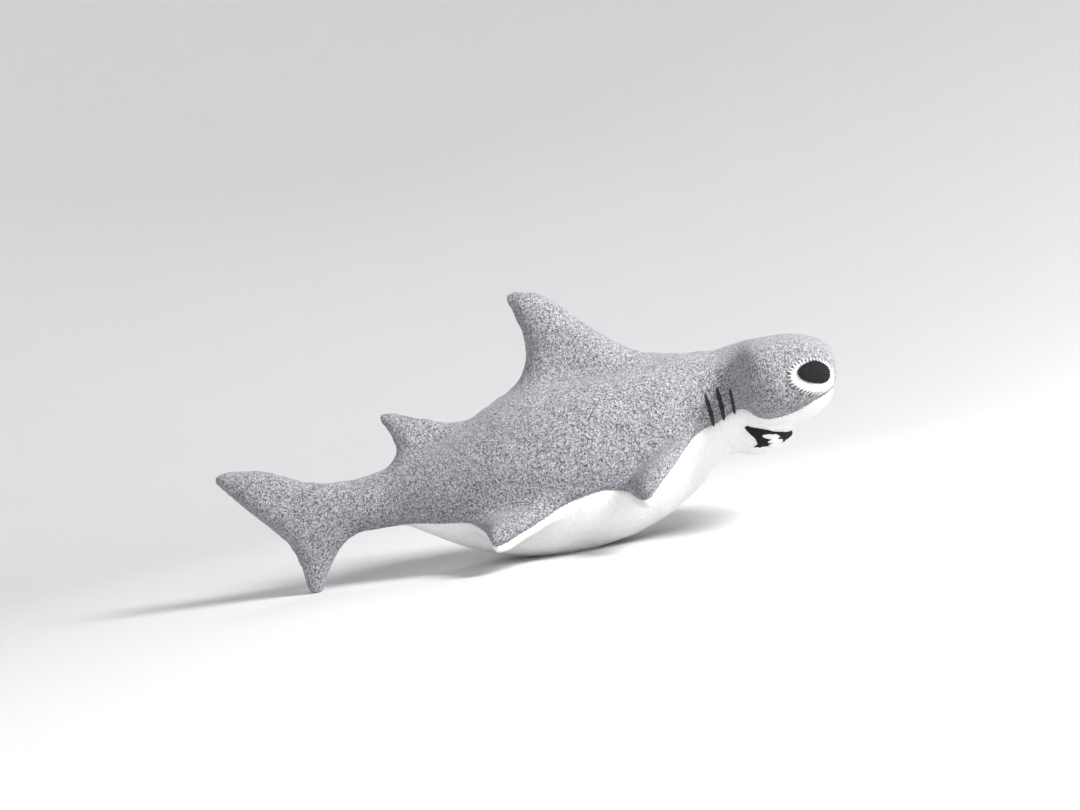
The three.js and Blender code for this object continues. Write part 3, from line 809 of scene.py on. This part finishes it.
def felt_piece(name, outline, lay, lift, thickness=FELT, step=0.9, edge=0.9):
    """A felt patch cut to an outline. lay puts pattern points on the skin; the patch lies lift above it."""
    pattern, faces, depth = felt_pattern(outline, step)
    round_edge = np.sqrt(1 - (1 - np.minimum(1, depth / edge)) ** 2)
    place = np.array([lay(u, v) for u, v in pattern])
    normal = skin_normal(place)
    top = place + normal * (lift + thickness * (0.45 + 0.55 * round_edge))[:, None]
    bottom = place + normal * (lift - FELT_SUNK)
    facing = sum(np.cross(top[b] - top[a], top[c] - top[a]) @ normal[a] for a, b, c in faces)
    if facing < 0:
        faces = [face[::-1] for face in faces]
    count = len(pattern)
    directed = [pair for face in faces for pair in zip(face, face[1:] + face[:1])]
    known = set(directed)
    sides = [(b, a, a + count, b + count) for a, b in directed if (b, a) not in known]
    under = [tuple(i + count for i in face[::-1]) for face in faces]
    return mesh_object(name, np.concatenate([top, bottom]), list(faces) + under + sides)


def line_lengths(line):
    """The length of a line up to each of its points."""
    return np.concatenate([[0], np.cumsum(np.linalg.norm(np.diff(line, axis=0), axis=1))])


def tubes(name, paths, radius, sides=6):
    """Threads along paths, narrower at their ends, as one mesh."""
    points, faces = [], []
    for path in paths:
        path = np.asarray(path, float)
        tangent = np.gradient(path, axis=0)
        tangent /= np.maximum(np.linalg.norm(tangent, axis=1), 1e-9)[:, None]
        guide = np.cross(tangent[0], (0, 0, 1) if abs(tangent[0][2]) < 0.9 else (1, 0, 0))
        start = len(points)
        for k, (centre, along) in enumerate(zip(path, tangent)):
            guide = guide - along * (guide @ along)
            guide /= np.linalg.norm(guide)
            other = np.cross(along, guide)
            size = radius * (0.55 if k in (0, len(path) - 1) else 1)
            for j in range(sides):
                angle = 2 * math.pi * j / sides
                points.append(centre + size * (math.cos(angle) * guide + math.sin(angle) * other))
        for k in range(len(path) - 1):
            for j in range(sides):
                a, b = start + k * sides + j, start + k * sides + (j + 1) % sides
                faces.append((a, b, b + sides, a + sides))
        last = start + (len(path) - 1) * sides
        faces.append(tuple(start + j for j in reversed(range(sides))))
        faces.append(tuple(last + j for j in range(sides)))
    return mesh_object(name, points, faces)


def mirror(point, side):
    """A point of the right side, or on the left side its twin."""
    return np.array((point[0], -side * point[1], point[2]))


# Eye: where it lies on the right lobe, turned towards the nose, and tilted down to the nose.
EYE = {"x": 148.3, "y": -56, "turn": 0.42, "tilt": -0.18}
EYE_PARTS = {
    "eye_patch": {
        "half": (12.1, 7.9),
        "z": 74.3,
        "lift": 0.0,
        "felt": "white_felt",
        "thread": "white_thread",
        "stitch": {"spacing": 1.7, "reach": 1.5, "radius": 0.34},
        "outline_seed": 0,
        "stitch_seed": 9,
    },
    "pupil": {
        "half": (8.2, 5.25),
        "z": 76.1,
        "lift": FELT,
        "felt": "black_felt",
        "thread": "black_thread",
        "stitch": {"spacing": 1.15, "reach": 0.8, "radius": 0.24},
        "outline_seed": 2,
        "stitch_seed": 5,
    },
}
EYE_POINTS = 40


def eye_outline(half_across, half_up, seed):
    """An oval that is cut by hand, so slightly uneven."""
    points = []
    for k in range(EYE_POINTS):
        angle = 2 * math.pi * k / EYE_POINTS
        wobble = 0.16 * math.sin(3 * angle + seed) + 0.1 * math.sin(5 * angle + 2 * seed)
        egg = 1 + 0.06 * math.cos(angle)
        points.append(((half_across + wobble) * math.cos(angle), (half_up + wobble) * egg * math.sin(angle)))
    return np.array(points)


def lay_eye(part, side):
    """Puts a pattern point (across, up) on the skin around the eye."""
    turn, tilt = EYE["turn"], EYE["tilt"]
    out = np.array((math.sin(turn), -math.cos(turn), 0))
    sideways = np.array((math.cos(turn), math.sin(turn), 0))

    def lay(u, v):
        across = u * math.cos(tilt) - v * math.sin(tilt)
        up = u * math.sin(tilt) + v * math.cos(tilt)
        start = np.array((EYE["x"], EYE["y"], part["z"] + up)) + sideways * across + out * RAY_REACH
        return on_skin(mirror(start, side), mirror(-out, side))

    return lay


def whip_stitches(name, outline, lay, stitch, lift, seed):
    """Short stitches over the edge of a felt patch, from the skin outside it to its top."""
    rim = dense(outline, 0.25)
    length = line_lengths(rim)
    count = int(length[-1] / stitch["spacing"])
    paths = []
    rng = np.random.default_rng(seed)
    for k in range(count):
        i = int(np.searchsorted(length, (k + 0.5) * length[-1] / count))
        here = rim[i % len(rim)]
        along = rim[(i + 2) % len(rim)] - rim[(i - 2) % len(rim)]
        along /= np.linalg.norm(along)
        inward = np.array((-along[1], along[0]))
        if depth_inside(rim, *(here + 0.6 * inward)) < 0:
            inward = -inward
        lean = along * rng.uniform(0.1, 0.45)
        reach_in = stitch["reach"] * rng.uniform(0.8, 1.2)
        reach_out = stitch["reach"] * rng.uniform(0.8, 1.2)
        path = []
        for t, height in ((-reach_out, -0.35), (-0.75 * reach_out, 0.2), (-0.1, lift * 0.72 + 0.2),
                          (0.55 * reach_in, lift + 0.22), (reach_in, lift - 0.4)):
            place = lay(*(here + inward * t + lean * t))
            path.append(place + skin_normal(place)[0] * height)
        paths.append(path)
    return tubes(name, paths, stitch["radius"])


def make_eyes():
    for number, (side, sign) in enumerate(SIDES):
        for kind, part in EYE_PARTS.items():
            lay = lay_eye(part, sign)
            outline = eye_outline(*part["half"], number + part["outline_seed"])
            patch = felt_piece(f"{side}_{kind}_felt", outline, lay, part["lift"])
            finish_piece(patch, part["felt"], [f"{side}_{kind}"])
            stitches = whip_stitches(f"{side}_{kind}_stitches", outline, lay, part["stitch"],
                                     part["lift"] + FELT, 10 * number + part["stitch_seed"])
            finish_piece(stitches, part["thread"], [f"{side}_{kind}_thread"])


# Mouth and teeth on the right side, as x and z. The mouth goes on round the front of the chin.
MOUTH_TOP = [(118, 53.2), (119.6, 53.6), (120.8, 52.7), (124, 51.6), (127.5, 50.4), (130.3, 49.4),
             (132, 48.5), (135.2, 47.7), (138, 47.2), (140, 46.6), (143, 46.2)]
MOUTH_BOTTOM = [(143.4, 43), (140.8, 42.6), (139, 41.8), (137.5, 41.3), (136.2, 42.2), (135, 43.4),
                (132, 43.6), (130.4, 42.6), (129.6, 41), (126.6, 41.2), (125.4, 40.8), (124.2, 41.5),
                (122.6, 41.2), (124, 42.4), (124.2, 43), (123.2, 45.8), (122.2, 47.2), (120.8, 48.7),
                (119.4, 50.6), (118.5, 51.8)]
MOUTH_FRONT = [45.9, 42.9]
TEETH = [(125.9, 47.5), (126.8, 48.2), (129, 48.3), (133.1, 47.4), (134.5, 47), (135.4, 46.2),
         (137.2, 45.2), (134.7, 44.8), (136.5, 44.4), (137.5, 43.8), (137.7, 42.6), (136.3, 42),
         (137, 40.6), (133.5, 40.2), (130.2, 40.6), (129.9, 42), (132.1, 42.8), (129, 43.3),
         (128.7, 44.5), (130.5, 44.9), (128.5, 45.6), (127, 46.4)]
TEETH_THICKNESS = 1.0
CHIN_AXIS_X = 128
PATTERN_RADIUS = 28.0        # mm of mouth pattern to a radian about the chin's axis


def chin_pattern(x, z):
    """The pattern point of a place on the chin's right side: distance round from the front, and height."""
    place = on_skin((x, -FAR_SIDE, z), (0, 1, 0))
    return PATTERN_RADIUS * math.atan2(-place[1], place[0] - CHIN_AXIS_X), z


def lay_chin(u, v):
    """Puts a pattern point on the chin."""
    angle = u / PATTERN_RADIUS
    return on_skin((CHIN_AXIS_X, 0, v), (math.cos(angle), -math.sin(angle), 0))


def make_mouth():
    top = [chin_pattern(*p) for p in MOUTH_TOP]
    bottom = [chin_pattern(*p) for p in MOUTH_BOTTOM]
    top_front, bottom_front = ((0.0, z) for z in MOUTH_FRONT)
    left_bottom = [(-u, v) for u, v in reversed(bottom)]
    left_top = [(-u, v) for u, v in reversed(top)]
    outline = top + [top_front] + left_top + left_bottom + [bottom_front] + bottom
    mouth = felt_piece("mouth_felt", outline, lay_chin, 0.0)
    finish_piece(mouth, "black_felt", ["mouth"])
    teeth = [chin_pattern(*p) for p in TEETH]
    for side, sign in SIDES:
        outline = [(-sign * u, v) for u, v in teeth]
        piece = felt_piece(f"{side}_teeth_felt", outline, lay_chin, FELT / 2, TEETH_THICKNESS,
                           step=0.7, edge=0.6)
        finish_piece(piece, "white_felt", [f"{side}_teeth"])


# Gills: rear, middle and front, as top x and z, bottom x and z, and half width.
GILLS = {
    "rear": ((99.6, 74), (101.4, 56.4), 0.75),
    "middle": ((106.2, 76.4), (107.5, 58.6), 0.85),
    "front": ((112.3, 75.2), (113.6, 60.9), 0.5),
}
GILL_STRANDS, GILL_STEPS, GILL_TURNS = 4, 12, 0.9
FLOSS_RADIUS = 0.46


def gill_strand(top, bottom, half, side, strand):
    """One strand of a gill's floss, as points from its top to its bottom."""
    path = []
    for k in range(GILL_STEPS + 1):
        t = k / GILL_STEPS
        x = top[0] + (bottom[0] - top[0]) * t
        z = top[1] + (bottom[1] - top[1]) * t
        place = on_skin((x, side * FAR_SIDE, z), (0, -side, 0))
        normal = skin_normal(place)[0]
        angle = 2 * math.pi * (strand / GILL_STRANDS + GILL_TURNS * t)
        swell = math.sin(math.pi * (0.02 + t * 0.96)) ** 0.35
        across = half * math.cos(angle) * swell
        height = (0.35 + 0.3 * math.sin(angle)) * swell - 0.55 * (1 - swell)
        path.append(place + normal * height + np.array((across, 0, 0)))
    return path


def make_gills():
    """Each gill is one long stitch of a few strands of black floss."""
    for name, (top, bottom, half) in GILLS.items():
        for side, sign in SIDES:
            paths = [gill_strand(top, bottom, half, sign, strand) for strand in range(GILL_STRANDS)]
            gill = tubes(f"{side}_{name}_gill_floss", paths, FLOSS_RADIUS)
            finish_piece(gill, "black_thread", [f"{side}_{name}_gill_stitch"])


def seam_lines(panel, keep):
    """The stretches of a panel's edge whose points are kept, each as points in order."""
    mesh = bmesh.new()
    mesh.from_mesh(panel.data)
    links = {}
    for edge in mesh.edges:
        a, b = (v.co / MM for v in edge.verts)
        if edge.is_boundary and keep(a) and keep(b):
            links.setdefault(edge.verts[0].index, []).append(edge.verts[1].index)
            links.setdefault(edge.verts[1].index, []).append(edge.verts[0].index)
    place = {v.index: np.array(v.co) / MM for v in mesh.verts if v.index in links}
    mesh.free()
    lines = []
    while links:
        ends = [v for v, others in links.items() if len(others) == 1]
        here = min(ends or links, key=lambda v: tuple(place[v]))
        line = [here]
        while links.get(here):
            after = links[here].pop()
            links[after].remove(here)
            here = after
            line.append(here)
        links = {v: others for v, others in links.items() if others}
        lines.append(np.array([place[v] for v in line]))
    return lines


MACHINE_STITCH = {"spacing": 3.0, "half": 0.75, "height": 0.1, "radius": 0.2, "lean": 0.35}
HAND_STITCH = {"spacing": 2.6, "half": 1.0, "height": 0.3, "radius": 0.24, "lean": 0.6}
CLOSING = (-64, -28)         # the hand-sewn opening in the left belly seam
PAST_ENDS = 200              # a distance along X that is past both ends of the toy

# Threads of the belly seam: side, rear end, front end and stitch.
BELLY_THREADS = {
    "left_belly_seam_rear_thread": (1, -PAST_ENDS, CLOSING[0] - 1, MACHINE_STITCH),
    "left_belly_seam_front_thread": (1, CLOSING[1] + 1, PAST_ENDS, MACHINE_STITCH),
    "right_belly_seam_thread": (-1, -PAST_ENDS, PAST_ENDS, MACHINE_STITCH),
    "closing_stitch_thread": (1, *CLOSING, HAND_STITCH),
}


def points_along(line, distance):
    """The points at these distances along a line."""
    length = line_lengths(line)
    return np.stack([np.interp(distance, length, line[:, k]) for k in range(3)], axis=1)


def ladder_stitches(name, lines, stitch):
    """Small stitches across a seam, down in its groove."""
    spacing, half, height, lean = (stitch[key] for key in ("spacing", "half", "height", "lean"))
    paths = []
    for line in lines:
        length = line_lengths(line)[-1]
        if length < spacing:
            continue
        at = np.arange(spacing / 2, length, spacing)
        centres = points_along(line, at)
        along = points_along(line, at + 0.5) - points_along(line, at - 0.5)
        along /= np.maximum(np.linalg.norm(along, axis=1), 1e-6)[:, None]
        normal = skin_normal(centres)
        across = np.cross(along, normal)
        across /= np.maximum(np.linalg.norm(across, axis=1), 1e-6)[:, None]
        for centre, ahead, out, aside in zip(centres, along, normal, across):
            paths.append([centre + aside * half * k + ahead * lean * k + out * (height - 0.45 * k * k)
                          for k in (-1, -0.5, 0, 0.5, 1)])
    return tubes(name, paths, stitch["radius"])


def make_seam_threads(panels):
    middle = seam_lines(panels["left_side_panel"], lambda p: abs(p.y) < 1e-3)
    thread = ladder_stitches("middle_seam_thread", middle, MACHINE_STITCH)
    finish_piece(thread, "grey_thread", ["back_seam_thread", "tail_seam_thread"], bends=True)
    edge = seam_lines(panels["belly_panel"], lambda p: True)
    for name, (sign, low, high, stitch) in BELLY_THREADS.items():
        lines = []
        for line in edge:
            inside = (line[:, 1] * sign > 0.2) & (line[:, 0] > low) & (line[:, 0] < high)
            for run in np.split(np.arange(len(line)), np.flatnonzero(np.diff(inside.astype(int))) + 1):
                if len(run) > 2 and inside[run[0]]:
                    lines.append(line[run])
        thread = ladder_stitches(name + "_stitches", lines, stitch)
        finish_piece(thread, "grey_thread", [name], bends=True)


STUFFING_DEPTH = 4.4         # from the skin's outside to the stuffing
WAD_CELL = 5.0
NECK_X, DORSAL_ROOT_Z, WAD_GAP = 115.3, 101.2, 1.0
DORSAL_WAD_REAR, DORSAL_WAD_FRONT = -20, 100
HINGE_REACH = 8.6            # radius of the round end of the tail's wad


def make_stuffing():
    """Four lumpy wads of loose fibre."""
    hinge_x = HINGE[0] / MM

    def lumps(x, y, z):
        return 0.8 * np.sin(x / 5.1 + y / 9) * np.sin(y / 4.3 + z / 8) * np.sin(z / 4.7 + x / 11)

    def past_hinge(x, y):
        """Distance in front of the round end of the tail's wad."""
        return np.where(x > hinge_x, np.hypot(x - hinge_x, y) - HINGE_REACH, -HINGE_REACH)

    def body_space(x, y, z):
        behind_neck = NECK_X - WAD_GAP / 2 - x
        return np.minimum(np.minimum(behind_neck, past_hinge(x, y) - WAD_GAP), DORSAL_ROOT_Z - z)

    def dorsal_space(x, y, z):
        above_root = z - DORSAL_ROOT_Z - WAD_GAP
        return np.minimum(np.minimum(above_root, DORSAL_WAD_FRONT - x), x - DORSAL_WAD_REAR)

    wads = {
        "head_stuffing": lambda x, y, z: x - NECK_X - WAD_GAP / 2,
        "body_stuffing": body_space,
        "dorsal_fin_stuffing": dorsal_space,
        "tail_stuffing": lambda x, y, z: -past_hinge(x, y),
    }
    for name, space in wads.items():
        def wad(x, y, z, space=space):
            return np.minimum(shark(x, y, z) - STUFFING_DEPTH + lumps(x, y, z), space(x, y, z) + 0 * y)

        points, quads = surface_net(wad, 0, WAD_CELL)
        piece = mesh_object(name + "_fibre", points, quads)
        finish_piece(piece, "stuffing", [name], body=TAIL if name.startswith("tail") else BODY)


whole_skin = stuffed_skin()
shape_seams(whole_skin)
skin_map = {
    "points": coordinates(whole_skin),
    "normals": vertex_normals(whole_skin),
    "faces": [tuple(face.vertices) for face in whole_skin.data.polygons],
}
skin_map["tree"] = BVHTree.FromPolygons([Vector(point) for point in skin_map["points"]], skin_map["faces"])
panels = cut_skin(whole_skin)
bpy.data.objects.remove(whole_skin)
make_seam_threads(panels)
finish_panels(panels)
make_eyes()
make_mouth()
make_gills()
make_stuffing()


# ------------------------------------------------------------------ stage, light and camera, in metres

FLOOR_RADIUS, COVE = 0.5, 0.9
WALL_RADIUS, WALL_TOP = 1.4, 3.0
STAGE_SIDES = 48
LOOK_AT = Vector((0.012, 0, 0.0828))


def area_light(name, place, target, size, power, colour=(1, 1, 1)):
    data = bpy.data.lights.new(name, "AREA")
    data.shape = "DISK"
    data.size = size
    data.energy = power
    data.color = colour
    light = bpy.data.objects.new(name, data)
    light.location = place
    light.visible_camera = False
    light.rotation_euler = (Vector(target) - Vector(place)).to_track_quat("-Z", "Y").to_euler()
    bpy.context.scene.collection.objects.link(light)


def make_stage():
    """A pale floor that curves up into a backdrop all round."""
    material, shader = new_material("stage", (0.68, 0.68, 0.69), 1.0)
    shader.inputs["Specular IOR Level"].default_value = 0
    add_bump(material, shader, texture_noise(material, 160, 3), 0.5, 0.5)
    rows = []
    for angle in np.linspace(0, math.pi / 2, 13):
        rows.append((FLOOR_RADIUS + COVE * math.sin(angle), COVE - COVE * math.cos(angle)))
    rows.append((WALL_RADIUS, WALL_TOP))
    sides = STAGE_SIDES
    points = [(0, 0, 0)]
    faces = []
    for radius, height in rows:
        for k in range(sides):
            turn = 2 * math.pi * k / sides
            points.append((radius * math.cos(turn), radius * math.sin(turn), height))
    for k in range(sides):
        after = (k + 1) % sides
        faces.append((0, 1 + k, 1 + after))
        for row in range(len(rows) - 1):
            low = 1 + row * sides
            faces.append((low + k, low + sides + k, low + sides + after, low + after))
    stage = mesh_object("stage", np.array(points) / MM, faces, material)


make_stage()
area_light("key", (0.85, -0.5, 0.75), LOOK_AT, 0.45, 25, (1, 0.995, 0.98))
area_light("fill", (-0.5, -0.9, 0.5), LOOK_AT, 0.9, 2.2)
area_light("back", (-0.2, 0.7, 1.0), LOOK_AT, 0.6, 2)
bpy.context.scene.view_settings.view_transform = "Standard"
world = bpy.data.worlds.new("world")
world.use_nodes = True
world.node_tree.nodes["Background"].inputs["Color"].default_value = (0.95, 0.965, 1, 1)
world.node_tree.nodes["Background"].inputs["Strength"].default_value = 0.28
bpy.context.scene.world = world

ROLL = math.radians(9.5)
DISTANCE = 0.6
FIELD_OF_VIEW = math.radians(53.5)
SENSOR_WIDTH = 36            # mm


def make_camera():
    """The camera looks along +Y at the toy's right side, held so that the nose points up."""
    data = bpy.data.cameras.new("camera")
    data.sensor_width = SENSOR_WIDTH
    data.lens = SENSOR_WIDTH / 2 / math.tan(FIELD_OF_VIEW / 2)
    camera = bpy.data.objects.new("camera", data)
    forward = Vector((0, 1, 0))
    level = forward.to_track_quat("-Z", "Y").to_matrix()
    turned = level @ Matrix.Rotation(-ROLL, 3, "Z")
    camera.matrix_world = Matrix.Translation(LOOK_AT - forward * DISTANCE) @ turned.to_4x4()
    bpy.context.scene.collection.objects.link(camera)
    bpy.context.scene.camera = camera


make_camera()
